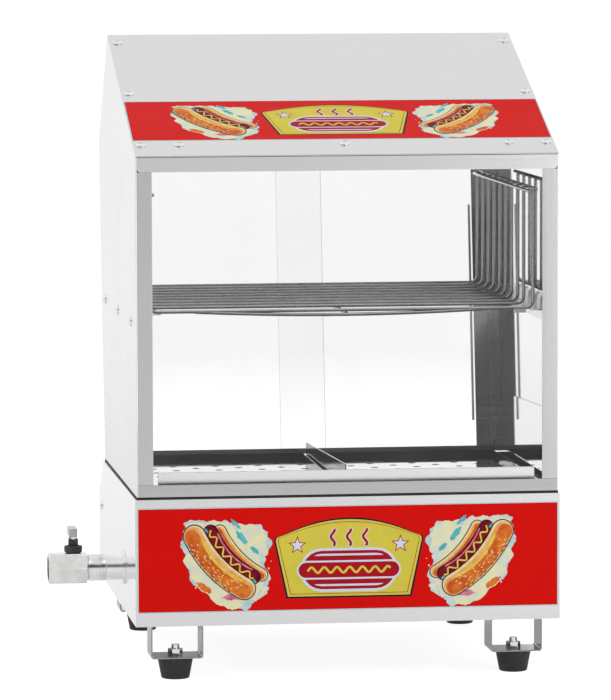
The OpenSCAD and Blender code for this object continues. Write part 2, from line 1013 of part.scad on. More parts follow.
in_frame() {
    base_front();
    base_sides();
    base_rear();
    base_top();
    base_floor();
    control_panel();
    side_screws();
    base_banner();
    foot_brackets();
    rubber_feet();
    foot_bolts();
    foot_nuts();
    water_pan();
    pan_gasket();
    heating_element();
    element_flange();
    drain_pipe();
    drain_collars();
    drain_coupling();
    valve_body();
    valve_seats();
    valve_ball();
    valve_lever();
    valve_handle();
    valve_screw();
    thermostat_body();
    thermostat_shaft();
    thermostat_knob();
    switch_housing();
    switch_rocker();
    pilot_lamp();
    cable_gland();
    terminal_block();
    tray_left();
    tray_right();
    tray_divider();
    front_guard();
    rack_floor();
    rack_sides();
    rack_ledges();
    cabinet_sides();
    side_liners();
    roof_panel();
    rear_hood();
    front_posts();
    front_bar_top();
    front_bar_bottom();
    front_glass();
    glass_retainers();
    rear_posts();
    rear_bar_top();
    rear_bar_bottom();
    track_top();
    track_bottom();
    door_left();
    door_right();
    pull_left();
    pull_right();
    roof_banner();
    roof_screws();
}
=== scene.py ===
"""Looks of the countertop hot dog steamer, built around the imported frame.

Lengths are in metres; MM turns millimetres into metres. X runs to the right seen from the front window,
Y from the front window to the rear doors, and Z up from the counter.
"""
import itertools
import math
import random

import bpy
from mathutils import Matrix, Vector


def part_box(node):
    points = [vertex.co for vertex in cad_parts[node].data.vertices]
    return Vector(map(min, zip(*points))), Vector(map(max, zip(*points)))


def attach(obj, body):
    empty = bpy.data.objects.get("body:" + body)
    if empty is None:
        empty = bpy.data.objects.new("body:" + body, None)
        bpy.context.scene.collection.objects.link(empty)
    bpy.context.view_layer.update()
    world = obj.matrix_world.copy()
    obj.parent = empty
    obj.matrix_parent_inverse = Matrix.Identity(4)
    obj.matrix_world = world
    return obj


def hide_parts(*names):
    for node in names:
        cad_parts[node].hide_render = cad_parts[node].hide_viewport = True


MM = 0.001
Z_AXIS = Vector((0, 0, 1))

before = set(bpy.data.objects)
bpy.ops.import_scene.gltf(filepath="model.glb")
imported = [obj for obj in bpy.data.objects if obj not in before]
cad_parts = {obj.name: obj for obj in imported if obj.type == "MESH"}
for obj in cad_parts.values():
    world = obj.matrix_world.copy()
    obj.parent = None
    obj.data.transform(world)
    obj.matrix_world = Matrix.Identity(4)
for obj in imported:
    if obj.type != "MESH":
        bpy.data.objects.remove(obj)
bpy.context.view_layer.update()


class NodeBox:
    """Lowest and highest corner of a CAD node, with its middle."""

    def __init__(self, node):
        self.lo, self.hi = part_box(node)
        self.mid = (self.lo + self.hi) / 2
        self.size = self.hi - self.lo


MIDDLE_X = NodeBox("base_front").mid.x
FRONT_Y = NodeBox("base_front").lo.y
HOOD = NodeBox("rear_hood")
ROOF_ANGLE = math.atan2(HOOD.hi.z - NodeBox("front_bar_top").hi.z, HOOD.lo.y - FRONT_Y)
REAR_POSTS = NodeBox("rear_posts")
REAR_LEAN = math.atan2(REAR_POSTS.size.y, REAR_POSTS.size.z)

# ---- Geometry helpers ----


def arc(centre, radius, start, end, steps):
    """Points on an arc in the plane, angles in degrees."""
    points = []
    for i in range(steps + 1):
        a = math.radians(start + (end - start) * i / steps)
        points.append((centre[0] + radius * math.cos(a), centre[1] + radius * math.sin(a)))
    return points


def rounded(path, radius, steps=5):
    """An open 3D path with its inner corners rounded to a radius."""
    path = [Vector(p) for p in path]
    result = [path[0]]
    for before, corner, after in zip(path, path[1:], path[2:]):
        back = (before - corner).normalized()
        ahead = (after - corner).normalized()
        half = back.angle(ahead) / 2
        reach = radius / math.tan(half)
        centre = corner + (back + ahead).normalized() * (radius / math.sin(half))
        start = corner + back * reach - centre
        turn = start.rotation_difference(corner + ahead * reach - centre)
        for i in range(steps + 1):
            result.append(centre + Matrix.Rotation(turn.angle * i / steps, 3, turn.axis) @ start)
    result.append(path[-1])
    return result


def millimetres(outline):
    """An outline or profile given in millimetres, in metres; a function stays as it is."""
    return [tuple(c if callable(c) else c * MM for c in point) for point in outline]


def ring_points(rows, sides):
    """Rings of points about Z, from rows of (radius or function of the angle, height)."""
    points = []
    for radius, height in rows:
        for i in range(sides):
            a = 2 * math.pi * i / sides
            r = radius(a) if callable(radius) else radius
            points.append((r * math.cos(a), r * math.sin(a), height))
    return points


def ring_faces(rings, sides, closed=False):
    """Quads between neighbouring rings of points, and from the last to the first where it is closed."""
    faces = []
    for ring in range(rings if closed else rings - 1):
        above = (ring + 1) % rings
        for i in range(sides):
            j = (i + 1) % sides
            faces.append([ring * sides + i, ring * sides + j, above * sides + j, above * sides + i])
    return faces


def end_faces(rings, sides):
    """The caps that close the first and the last ring."""
    last = (rings - 1) * sides
    return [list(range(sides))[::-1], [last + i for i in range(sides)]]


class Shape:
    """Collects closed solids and turns them into one piece."""

    def __init__(self):
        self.points, self.faces, self.slots = [], [], []

    def add(self, points, faces, slot=0, matrix=Matrix.Identity(4)):
        first = len(self.points)
        self.points += [matrix @ Vector(p) for p in points]
        self.faces += [[first + i for i in face] for face in faces]
        self.slots += [slot] * len(faces)
        return self

    def prism(self, outline, low, high, slot=0, matrix=Matrix.Identity(4)):
        """A flat outline, counterclockwise in X and Y, made solid from low to high in Z."""
        n = len(outline)
        points = [(x, y, z) for z in (low, high) for x, y in outline]
        return self.add(points, end_faces(2, n) + ring_faces(2, n), slot, matrix)

    def box(self, low, high, slot=0, matrix=Matrix.Identity(4)):
        outline = [(low[0], low[1]), (high[0], low[1]), (high[0], high[1]), (low[0], high[1])]
        return self.prism(outline, low[2], high[2], slot, matrix)

    def lathe(self, profile, matrix, sides=48):
        """A profile of (radius or function of the angle, height) turned about Z."""
        faces = ring_faces(len(profile), sides) + end_faces(len(profile), sides)
        return self.add(ring_points(profile, sides), faces, 0, matrix)

    def tube(self, outer, bore, sides, matrix, slot=0):
        """A straight bore in an outer profile of (radius or function of the angle, height)."""
        rows = [(bore, outer[0][1])] + outer + [(bore, outer[-1][1])]
        return self.add(ring_points(rows, sides), ring_faces(len(rows), sides, closed=True), slot, matrix)

    def rod(self, path, radius, sides=16):
        """A round rod along a path, with slightly rounded ends."""
        path = [Vector(p) for p in path]
        soft = radius * 0.35
        first, last = (path[1] - path[0]).normalized(), (path[-1] - path[-2]).normalized()
        stations = [(path[0], first, radius - soft), (path[0] + first * soft, first, radius)]
        for before, here, after in zip(path, path[1:], path[2:]):
            stations.append((here, (after - before).normalized(), radius))
        stations += [(path[-1] - last * soft, last, radius), (path[-1], last, radius - soft)]
        across = first.orthogonal().normalized()
        points = []
        for place, ahead, r in stations:
            across = (across - ahead * across.dot(ahead)).normalized()
            up = ahead.cross(across)
            for i in range(sides):
                a = 2 * math.pi * i / sides
                points.append(place + (across * math.cos(a) + up * math.sin(a)) * r)
        return self.add(points, ring_faces(len(stations), sides) + end_faces(len(stations), sides))

    def build(self, name, materials, body, replaces=(), bevel=0.0, sharp=35):
        """Makes the piece, lets it ride on a body and hides the CAD nodes it stands for."""
        mesh = bpy.data.meshes.new(name)
        mesh.from_pydata(self.points, [], self.faces)
        for material in materials:
            mesh.materials.append(material)
        mesh.polygons.foreach_set("material_index", self.slots)
        mesh.polygons.foreach_set("use_smooth", [True] * len(self.slots))
        mesh.set_sharp_from_angle(angle=math.radians(sharp))
        piece = bpy.data.objects.new(name, mesh)
        bpy.context.scene.collection.objects.link(piece)
        if bevel:
            soften(piece, bevel)
        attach(piece, body)
        if replaces:
            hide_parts(*replaces)
        return piece


def crisp(piece):
    """Splits a piece at its sharp edges, so that flat sheet between punched holes stays flat."""
    split = piece.modifiers.new("Split", "EDGE_SPLIT")
    split.split_angle = 0.5


def soften(piece, width, weld=False):
    """Rounds a piece's sharp edges, as sheet metal and castings have them."""
    if weld:
        piece.modifiers.new("Weld", "WELD").merge_threshold = 2e-6
    bevel = piece.modifiers.new("Bevel", "BEVEL")
    bevel.width = width
    bevel.segments = 2
    bevel.limit_method = "ANGLE"
    bevel.angle_limit = math.radians(40)
    bevel.use_clamp_overlap = True
    piece.modifiers.new("Normals", "WEIGHTED_NORMAL").keep_sharp = False


# ---- Material helpers ----


def feed(tree, socket, value):
    """Sets a socket to a plain value, or links another node's output to it."""
    if isinstance(value, bpy.types.NodeSocket):
        tree.links.new(value, socket)
    else:
        socket.default_value = value


def node(tree, kind, inputs=None, **settings):
    """Adds a shader node; an input is a plain value or another node's output socket."""
    made = tree.nodes.new(kind)
    for name, value in settings.items():
        setattr(made, name, value)
    for name, value in (inputs or {}).items():
        feed(tree, made.inputs[name], value)
    return made


def new_material(name):
    material = bpy.data.materials.new(name)
    material.use_nodes = True
    return material, material.node_tree, material.node_tree.nodes["Principled BSDF"]


def colour(r, g, b):
    """An sRGB colour given from 0 to 255, as the linear colour that shaders take."""
    return tuple(pow(c / 255, 2.2) for c in (r, g, b)) + (1.0,)


def noise(tree, scale, stretch=(1, 1, 1), detail=3.0, roughness=0.5, offset=(0, 0, 0)):
    """Noise over the piece's own coordinates, per metre, stretched along chosen axes."""
    place = node(tree, "ShaderNodeTexCoord").outputs["Object"]
    spread = node(tree, "ShaderNodeMapping", {"Vector": place, "Location": offset, "Scale": stretch})
    made = node(tree, "ShaderNodeTexNoise", {"Vector": spread.outputs["Vector"], "Scale": scale,
                                             "Detail": detail, "Roughness": roughness})
    return made.outputs["Fac"]


def remap(tree, value, low, high, start=0.0, end=1.0):
    """Maps a value from one range to another, and keeps it inside that."""
    made = node(tree, "ShaderNodeMapRange", {"Value": value, "From Min": low, "From Max": high,
                                             "To Min": start, "To Max": end})
    return made.outputs["Result"]


def math_node(tree, operation, a, b=0.0):
    """One step of arithmetic on two values."""
    made = tree.nodes.new("ShaderNodeMath")
    made.operation = operation
    for socket, value in zip(made.inputs, (a, b)):
        feed(tree, socket, value)
    return made.outputs[0]


def times(tree, a, b):
    """The product of two values."""
    return math_node(tree, "MULTIPLY", a, b)


def blend_colours(tree, factor, a, b):
    """Colour a where the factor is 0, and b where it is 1."""
    made = tree.nodes.new("ShaderNodeMix")
    made.data_type = "RGBA"
    for name, value in (("Factor_Float", factor), ("A_Color", a), ("B_Color", b)):
        feed(tree, next(s for s in made.inputs if s.identifier == name), value)
    return next(s for s in made.outputs if s.identifier == "Result_Color")


def drive(tree, shader, tint, roughness):
    """Lets textures drive a shader's colour and roughness."""
    tree.links.new(tint, shader.inputs["Base Color"])
    tree.links.new(roughness, shader.inputs["Roughness"])


def bump(tree, shader, height, strength, distance):
    """Fine relief in the shader's normal, distance deep in metres."""
    made = node(tree, "ShaderNodeBump", {"Height": height, "Strength": strength, "Distance": distance})
    tree.links.new(made.outputs["Normal"], shader.inputs["Normal"])


# Stretch of the noise that draws brushed streaks along each axis
GRAIN = {"x": (1.5, 140, 140), "y": (140, 1.5, 140), "z": (140, 140, 1.5)}
# Near black painted on chosen steel faces as painted shade
PAINTED_SHADE_STEEL = (0.05, 0.05, 0.05, 1)
# Pale colour painted on inner steel faces as painted light
PAINTED_LIGHT_INSIDE = (0.97, 0.97, 0.975, 1)


def steel(name, grain, shade, rough, streak=0.06, mirror_and_painted_light_inside=False, painted_dark_faces=None, texture=0.12,
          contrast=0.05):
    """Stainless sheet: streaks along the grain, soft blotches from handling, and fine scratches; inner faces
    can take a mirror polish with a paler colour, which is painted light.

    The upright or the level faces of a piece can be painted dark, a painted shade.
    """
    material, tree, shader = new_material(name)
    streaks = noise(tree, 3.0, GRAIN[grain], detail=4)
    fine = noise(tree, 9.0, GRAIN[grain], detail=2, offset=(0.3, 0.7, 0.1))
    blotches = noise(tree, 7.0, detail=3, offset=(0.2, 0.1, 0.5))
    low = shade * (1 - contrast)
    light, dark = (shade, shade, shade * 1.005, 1), (low, low, low * 1.005, 1)
    mixed = math_node(tree, "ADD", times(tree, streaks, 0.7), times(tree, blotches, 0.3))
    tint = blend_colours(tree, remap(tree, mixed, 0.35, 0.65), dark, light)
    # Painted light: the inner faces take a paler colour than the outer ones, besides their mirror polish.
    if mirror_and_painted_light_inside:
        tint = blend_colours(tree, inner_face(tree), tint, PAINTED_LIGHT_INSIDE)
    # Painted shade: the upright or the level faces are painted near black.
    if painted_dark_faces:
        level = remap(tree, math_node(tree, "ABSOLUTE", upward(tree)), 0.3, 0.6)
        edge = math_node(tree, "SUBTRACT", 1.0, level) if painted_dark_faces == "upright" else level
        tint = blend_colours(tree, edge, tint, PAINTED_SHADE_STEEL)
    roughness = math_node(tree, "ADD", remap(tree, streaks, 0.3, 0.7, rough - streak, rough + streak),
                          remap(tree, blotches, 0.3, 0.7, -0.03, 0.03))
    if mirror_and_painted_light_inside:
        roughness = times(tree, roughness, remap(tree, inner_face(tree), 0.0, 1.0, 1.0, 0.15))
    drive(tree, shader, tint, roughness)
    shader.inputs["Metallic"].default_value = 1.0
    bump(tree, shader, fine, texture, 0.00005)
    return material


def upward(tree):
    """1 on faces that look up, 0 on upright ones and -1 on those that look down."""
    facing = node(tree, "ShaderNodeNewGeometry").outputs["Normal"]
    return node(tree, "ShaderNodeSeparateXYZ", {"Vector": facing}).outputs["Z"]


def inner_face(tree):
    """1 on side faces that look towards the middle of the machine, 0 on those that look outwards."""
    place = node(tree, "ShaderNodeTexCoord").outputs["Object"]
    across = node(tree, "ShaderNodeSeparateXYZ", {"Vector": place}).outputs["X"]
    facing = node(tree, "ShaderNodeNewGeometry").outputs["Normal"]
    sideways = node(tree, "ShaderNodeSeparateXYZ", {"Vector": facing}).outputs["X"]
    outward = times(tree, math_node(tree, "SUBTRACT", across, MIDDLE_X), sideways)
    return math_node(tree, "LESS_THAN", outward, 0.0)


def bright_metal(name, tint, rough, wear=0.05, scale=60.0, painted_shade_below=False):
    """Turned or plated metal: cloudy polish with small scratches; its undersides can take a painted shade."""
    material, tree, shader = new_material(name)
    clouds = noise(tree, scale, detail=4)
    scratches = noise(tree, scale * 4, (1, 6, 1), detail=2)
    darker = tuple(c * 0.86 for c in tint[:3]) + (1.0,)
    surface = blend_colours(tree, remap(tree, clouds, 0.35, 0.7), darker, tint)
    # Painted shade: faces that look down are painted dark.
    if painted_shade_below:
        surface = blend_colours(tree, remap(tree, upward(tree), -0.15, 0.35), (0.1, 0.1, 0.1, 1), surface)
    drive(tree, shader, surface, remap(tree, clouds, 0.3, 0.7, rough - wear, rough + wear))
    shader.inputs["Metallic"].default_value = 1.0
    bump(tree, shader, scratches, 0.15, 0.00004)
    return material


def solid_plastic(name, tint, rough, grain=900.0, strength=0.35, dust=0.12):
    """Moulded plastic or rubber: fine skin texture, with paler scuffs here and there."""
    material, tree, shader = new_material(name)
    skin = noise(tree, grain, detail=3)
    scuffs = noise(tree, 55.0, detail=5, roughness=0.65)
    pale = tuple(c + (0.5 - c) * dust for c in tint[:3]) + (1.0,)
    drive(tree, shader, blend_colours(tree, remap(tree, scuffs, 0.5, 0.75), tint, pale),
          remap(tree, scuffs, 0.3, 0.7, rough - 0.06, rough + 0.08))
    bump(tree, shader, skin, strength, 0.0001)
    return material


def print_ink(name, tint, second, scale, contrast=0.0):
    """Printed vinyl: an even ink with slight mottling, or two inks brushed into each other."""
    material, tree, shader = new_material("ink_" + name)
    tint = colour(*tint)
    second = colour(*second) if second else tuple(c * (1 - contrast) for c in tint[:3]) + (1.0,)
    mottle = noise(tree, scale, detail=5, roughness=0.6)
    drive(tree, shader, blend_colours(tree, remap(tree, mottle, 0.38, 0.62), tint, second),
          remap(tree, noise(tree, 14.0), 0.3, 0.7, 0.3, 0.42))
    shader.inputs["Specular IOR Level"].default_value = 0.03
    bump(tree, shader, noise(tree, 700.0, detail=2), 0.08, 0.00003)
    return material


def clear_glass(name, pane_normal, clear):
    """Flat pane: see-through faces with a Fresnel gloss and faint smears, and pale green ground edges."""
    material, tree, shader = new_material(name)
    output = tree.nodes["Material Output"]
    smears = noise(tree, 9.0, (1, 1, 0.4), detail=5, roughness=0.7)
    mirrored = node(tree, "ShaderNodeFresnel", {"IOR": 1.5}).outputs["Fac"]
    gloss = math_node(tree, "ADD", times(tree, mirrored, 0.5), remap(tree, smears, 0.5, 0.8, 0.0, 0.012))
    facing = node(tree, "ShaderNodeNewGeometry").outputs["Normal"]
    aligned = node(tree, "ShaderNodeVectorMath", {0: facing, 1: pane_normal}, operation="DOT_PRODUCT")
    edge = math_node(tree, "LESS_THAN", math_node(tree, "ABSOLUTE", aligned.outputs["Value"]), 0.6)
    through = node(tree, "ShaderNodeBsdfTransparent", {"Color": (clear, clear, clear, 1)})
    tree.links.new(math_node(tree, "SUBTRACT", 1.0, edge), shader.inputs["Metallic"])
    drive(tree, shader, blend_colours(tree, edge, (0.95, 0.97, 0.96, 1), (0.42, 0.55, 0.5, 1)),
          remap(tree, smears, 0.45, 0.75, 0.02, 0.08))
    share = math_node(tree, "MAXIMUM", gloss, times(tree, edge, 0.75))
    mixed = node(tree, "ShaderNodeMixShader", {"Fac": share})
    tree.links.new(through.outputs["BSDF"], mixed.inputs[1])
    tree.links.new(shader.outputs["BSDF"], mixed.inputs[2])
    tree.links.new(mixed.outputs["Shader"], output.inputs["Surface"])
    return material


def lens_plastic(name, tint):
    """Tinted lamp lens with prismatic rings moulded inside."""
    material, tree, shader = new_material(name)
    ripple = noise(tree, 1500.0, detail=1)
    drive(tree, shader, blend_colours(tree, ripple, tint, tuple(c * 0.6 for c in tint[:3]) + (1.0,)),
          remap(tree, ripple, 0.3, 0.7, 0.08, 0.16))
    shader.inputs["Coat Weight"].default_value = 0.6
    shader.inputs["Subsurface Weight"].default_value = 0.2
    shader.inputs["Subsurface Scale"].default_value = 0.002
    bump(tree, shader, ripple, 0.3, 0.0001)
    return material


PANE_REAR = (0.0, math.cos(REAR_LEAN), -math.sin(REAR_LEAN))
LOOKS = {
    # The stainless looks are one steel at shades set part by part to how bright each part stands: these
    # differences in shade are painted light and painted shade, while grain, roughness and polish are the
    # steel's own.
    "front": steel("steel_front", "x", 0.80, 0.27, streak=0.04),
    "bar": steel("steel_bar", "x", 0.74, 0.26, streak=0.04),
    "low_bar": steel("steel_low_bar", "x", 0.54, 0.2, streak=0.04),
    "guard": steel("steel_guard", "x", 0.95, 0.24, streak=0.04),
    "base_side": steel("steel_base_side", "y", 0.95, 0.16, streak=0.03, contrast=0.03),
    "side": steel("steel_side", "y", 0.80, 0.24, streak=0.03, mirror_and_painted_light_inside=True, contrast=0.03),
    "liner": steel("steel_liner", "y", 0.80, 0.24, streak=0.03, mirror_and_painted_light_inside=True, painted_dark_faces="level"),
    "roof": steel("steel_roof", "x", 0.70, 0.3, streak=0.03, contrast=0.03),
    "post": steel("steel_post", "z", 0.62, 0.26, streak=0.04),
    "rear": steel("steel_rear", "x", 0.44, 0.2),
    "strap": steel("steel_strap", "z", 0.36, 0.2),
    "pan": steel("steel_pan", "x", 0.3, 0.2),
    "divider": steel("steel_divider", "y", 0.75, 0.14, streak=0.03, painted_dark_faces="upright"),
    "polished": steel("steel_polished", "y", 0.9, 0.24, streak=0.03),
    "tray": steel("steel_tray", "y", 0.93, 0.05, streak=0.01, painted_dark_faces="upright", texture=0.03,
                  contrast=0.03),
    "track": steel("aluminium_dark", "x", 0.16, 0.36, streak=0.04),
    "rods": bright_metal("chromed_rods", (0.92, 0.92, 0.91, 1), 0.08, wear=0.03, painted_shade_below=True),
    "screws": bright_metal("screw_steel", (0.9, 0.9, 0.9, 1), 0.12, scale=300.0),
    "nickel": bright_metal("nickel", (0.86, 0.86, 0.845, 1), 0.2, scale=90.0),
    "lever": bright_metal("lever_steel", (0.46, 0.46, 0.455, 1), 0.22, scale=120.0),
    "aluminium": steel("aluminium", "x", 0.78, 0.36, streak=0.04),
    "element": bright_metal("heated_alloy", (0.3, 0.29, 0.28, 1), 0.4, scale=40.0),
    "brass": bright_metal("brass_machined", (0.75, 0.56, 0.28, 1), 0.25, scale=120.0),
    "rubber": solid_plastic("rubber_black", (0.018, 0.018, 0.018, 1), 0.62, grain=1400.0),
    "gasket": solid_plastic("gasket_rubber", (0.010, 0.010, 0.010, 1), 0.7, grain=1000.0, dust=0.05),
    "black": solid_plastic("plastic_black", (0.022, 0.022, 0.023, 1), 0.42, grain=1800.0, strength=0.2),
    "red_plastic": solid_plastic("plastic_red", (0.5, 0.012, 0.01, 1), 0.25, strength=0.08, dust=0.04),
    "cream": solid_plastic("phenolic_cream", (0.72, 0.66, 0.5, 1), 0.5, dust=0.1),
    "ptfe": solid_plastic("seat_ptfe", (0.85, 0.85, 0.82, 1), 0.4, dust=0.05),
    "window": clear_glass("glass_window", (0.0, 1.0, 0.0), 0.983),
    "door_glass": clear_glass("glass_door", PANE_REAR, 0.997),
    "amber": lens_plastic("lens_amber", (0.95, 0.32, 0.03, 1)),
}

# ---- CAD pieces that keep their shape ----

KEPT = {
    "front": ("base_front",),
    "bar": ("front_bar_top",),
    "low_bar": ("front_bar_bottom",),
    "guard": ("front_guard",),
    "base_side": ("base_sides",),
    "side": ("cabinet_sides",),
    "liner": ("side_liners",),
    "roof": ("roof_panel", "rear_hood"),
    "post": ("front_posts",),
    "rear": ("base_rear", "control_panel", "rear_posts", "rear_bar_top", "rear_bar_bottom"),
    "pan": ("base_top", "base_floor", "water_pan", "glass_retainers"),
    "divider": ("tray_divider",),
    "polished": ("rack_ledges", "drain_pipe", "drain_collars"),
    "tray": ("tray_left", "tray_right"),
    "track": ("track_top", "track_bottom"),
    "screws": ("side_screws", "roof_screws", "foot_bolts", "foot_nuts", "thermostat_shaft"),
    "nickel": ("valve_ball",),
    "aluminium": ("pull_left", "pull_right"),
    "element": ("heating_element",),
    "brass": ("element_flange",),
    "gasket": ("pan_gasket",),
    "red_plastic": ("switch_rocker",),
    "cream": ("thermostat_body", "terminal_block"),
    "ptfe": ("valve_seats",),
    "black": ("switch_housing",),
    "window": ("front_glass",),
    "door_glass": ("door_left", "door_right"),
}
# Width of the rounding where it differs from the plain one; 0 leaves the edges as they are
EDGE_ROUNDING = {"heating_element": 0, "switch_rocker": 0.0006, "switch_housing": 0.0006,
                 "pan_gasket": 0.0005, "front_glass": 0.0005, "door_left": 0.0005, "door_right": 0.0005,
                 "cabinet_sides": 0.0004, "base_sides": 0.0004, "valve_ball": 0.0004}
PLAIN_ROUNDING = 0.0003


def finish_kept_nodes():
    """Gives each CAD node that stays its material and softly rounded edges."""
    for look, names in KEPT.items():
        for name in names:
            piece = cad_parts[name]
            piece.data.materials.clear()
            piece.data.materials.append(LOOKS[look])
            width = EDGE_ROUNDING.get(name, PLAIN_ROUNDING)
            if look == "tray":
                crisp(piece)
            elif width:
                soften(piece, width, weld=True)


# ---- Bun rack ----


def rod_rows(front, rear):
    """Places of the basket's rods: a wide first gap, then even ones up to the rear."""
    first_gap, pitch = 54 * MM, 36 * MM
    count = round((rear - front - first_gap) / pitch)
    return [front] + [front + first_gap + pitch * i for i in range(count + 1)]


def bun_rack():
    """Bent wire basket: U-shaped rods, welded to rails along the tops of its sides and under its floor."""
    sides = NodeBox("rack_sides")
    r = 1.75 * MM
    weld = 3.1 * MM
    middle, bend = sides.mid.x, 7 * MM
    reach = sides.size.x / 2 - weld - r
    level, top = sides.lo.z + r, sides.hi.z - 0.95 * MM
    front, rear = sides.lo.y + 2 * MM, sides.hi.y - 2 * MM
    shape = Shape()
    for y in rod_rows(front, rear):
        path = [(middle - reach, y, top), (middle - reach, y, level),
                (middle + reach, y, level), (middle + reach, y, top)]
        shape.rod(rounded(path, bend), r)
    for side in (-1, 1):
        for shift, drop in ((weld, 0.8 * MM), (-weld, 3.2 * MM)):
            x = middle + side * (reach + shift)
            shape.rod([(x, front - 2 * MM, top - drop), (x, rear + 2 * MM, top - drop)], r)
    shape.rod([(MIDDLE_X, front - 1 * MM, level - weld), (MIDDLE_X, rear + 1 * MM, level - weld)], r)
    sag, half = 4.1 * MM, 147 * MM
    for y in (front, rear):
        bowed = []
        for i in range(-12, 13):
            t = i / 12
            bowed.append((middle + half * t, y, level - 0.4 * MM - sag * (1 - t * t)))
        shape.rod(bowed, r)
    lug = middle + 172.5 * MM
    shape.box((lug, front - 2 * MM, level - 5 * MM), (lug + 11.3 * MM, front + 2 * MM, level - 1 * MM))
    shape.build("bun_rack_wires", [LOOKS["rods"]], "bun_rack",
                replaces=("rack_floor", "rack_sides"))


# ---- Feet ----


def foot_places():
    """Middles of the four feet, from the box round them and the radius at their tops."""
    feet = NodeBox("rubber_feet")
    r = 18 * MM
    return [(x, y) for x in (feet.lo.x + r, feet.hi.x - r) for y in (feet.lo.y + r, feet.hi.y - r)]


def rubber_feet():
    """Tapered rubber feet with a rolled lower edge and a shallow lip under the bracket."""
    top = NodeBox("rubber_feet").hi.z / MM
    profile = [(0.1, 0.6), (11.0, 0.6), (11.4, 0.1), (12.6, 0.0), (13.5, 0.4), (14.1, 1.3),
               (17.3, top - 3.4), (17.5, top - 2.6), (17.95, top - 2.1), (18.0, top - 0.6),
               (17.6, top - 0.1), (0.1, top)]
    shape = Shape()
    for x, y in foot_places():
        shape.lathe(millimetres(profile), Matrix.Translation((x, y, 0)), sides=56)
    shape.build("feet_rubber", [LOOKS["rubber"]], "cabinet", replaces=("rubber_feet",),
                sharp=50)


def strap(path, thickness, low, high, shape, matrix):
    """A bent strip of sheet metal: a path in X and Z, made solid between two places in Y."""
    path = rounded([(x, 0, z) for x, z in path], 2.4 * MM)
    outline = []
    for side in (-1, 1):
        edge = []
        for i, here in enumerate(path):
            ahead = path[min(i + 1, len(path) - 1)] - path[max(i - 1, 0)]
            across = Vector((-ahead.z, 0, ahead.x)).normalized() * side * thickness / 2
            edge.append((here.x + across.x, here.z + across.z))
        outline += edge if side < 0 else edge[::-1]
    turn = Matrix(((1, 0, 0, 0), (0, 0, -1, 0), (0, 1, 0, 0), (0, 0, 0, 1)))
    shape.prism(outline, low, high, matrix=matrix @ turn)


def foot_brackets():
    """U-shaped straps, bent from sheet, with flanges turned inwards under the base."""
    brackets, base = NodeBox("foot_brackets"), NodeBox("base_floor")
    t, flange = 1.5 * MM, 11 * MM
    half, length = 26 * MM - t / 2, 20 * MM
    low, high = brackets.lo.z + t / 2, base.lo.z - t / 2
    path = [(-half + flange, high), (-half, high), (-half, low), (half, low), (half, high),
            (half - flange, high)]
    shape = Shape()
    for x, y in foot_places():
        strap(path, t, -length, length, shape, Matrix.Translation((x, y, 0)))
    shape.build("feet_straps", [LOOKS["strap"]], "cabinet", replaces=("foot_brackets",),
                bevel=0.0002, sharp=25)


# ---- Drain valve ----

VALVE = NodeBox("valve_body")
DRAIN = Vector((0, VALVE.mid.y, VALVE.mid.z))


def along_drain(x):
    """Local Z points out of the left side, from the given place on the drain's axis."""
    return Matrix.Translation((x, DRAIN.y, DRAIN.z)) @ Matrix.Rotation(-math.pi / 2, 4, "Y")


def hexagon(a, across, tip):
    """Radius of a hexagon with the given width across flats at an angle, cut to the radius tip."""
    step = math.pi / 3
    turned = (a + step / 2) % step - step / 2
    return min(across / 2 / math.cos(turned), tip)


def valve_body():
    """Hexagonal ball valve body with chamfered ends, a turned neck and a stem boss."""
    across = VALVE.size.z
    length = VALVE.size.x / MM
    tip = across / 2 * 1.1
    neck, bore, stem_hole = 12.9, 12.3 * MM, 4.05 * MM

    def hexed(cut):
        return lambda a: hexagon(a, across, cut)

    outer = [(neck - 0.4, 0.0), (neck, 0.3), (neck, 0.9), (hexed((neck + 1.6) * MM), 1.0),
             (hexed(tip), 1.7), (hexed(across), 2.5), (hexed(across), length - 1.6),
             (hexed(tip), length - 0.7), (hexed(across / 2 * 1.02), length)]
    shape = Shape()
    shape.tube(millimetres(outer), bore, 96, along_drain(VALVE.hi.x))
    boss = Matrix.Translation((NodeBox("valve_ball").mid.x, DRAIN.y, VALVE.hi.z - 2 * MM))
    shape.tube(millimetres([(8.2, 0.0), (8.2, 1.5), (7.9, 1.9), (6.6, 2.2)]), stem_hole, 40, boss)
    shape.build("drain_valve_body", [LOOKS["nickel"]], "cabinet", replaces=("valve_body",),
                sharp=28)


def drain_coupling():
    """Turned coupling between the pipe and the valve, with a groove and bevelled edges."""
    box = NodeBox("drain_coupling")
    length, r = box.size.x / MM, box.size.z / MM / 2
    outer = [(r - 0.9, 0.0), (r - 0.2, 0.5), (r, 0.9), (r, 6.4), (r - 0.35, 6.6), (r - 0.35, 7.4),
             (r, 7.6), (r, length - 0.9), (r - 0.2, length - 0.5), (r - 0.9, length)]
    shape = Shape()
    shape.tube(millimetres(outer), 9 * MM, 72, along_drain(box.hi.x))
    shape.build("drain_coupling_turned", [LOOKS["nickel"]], "cabinet",
                replaces=("drain_coupling",), sharp=28)


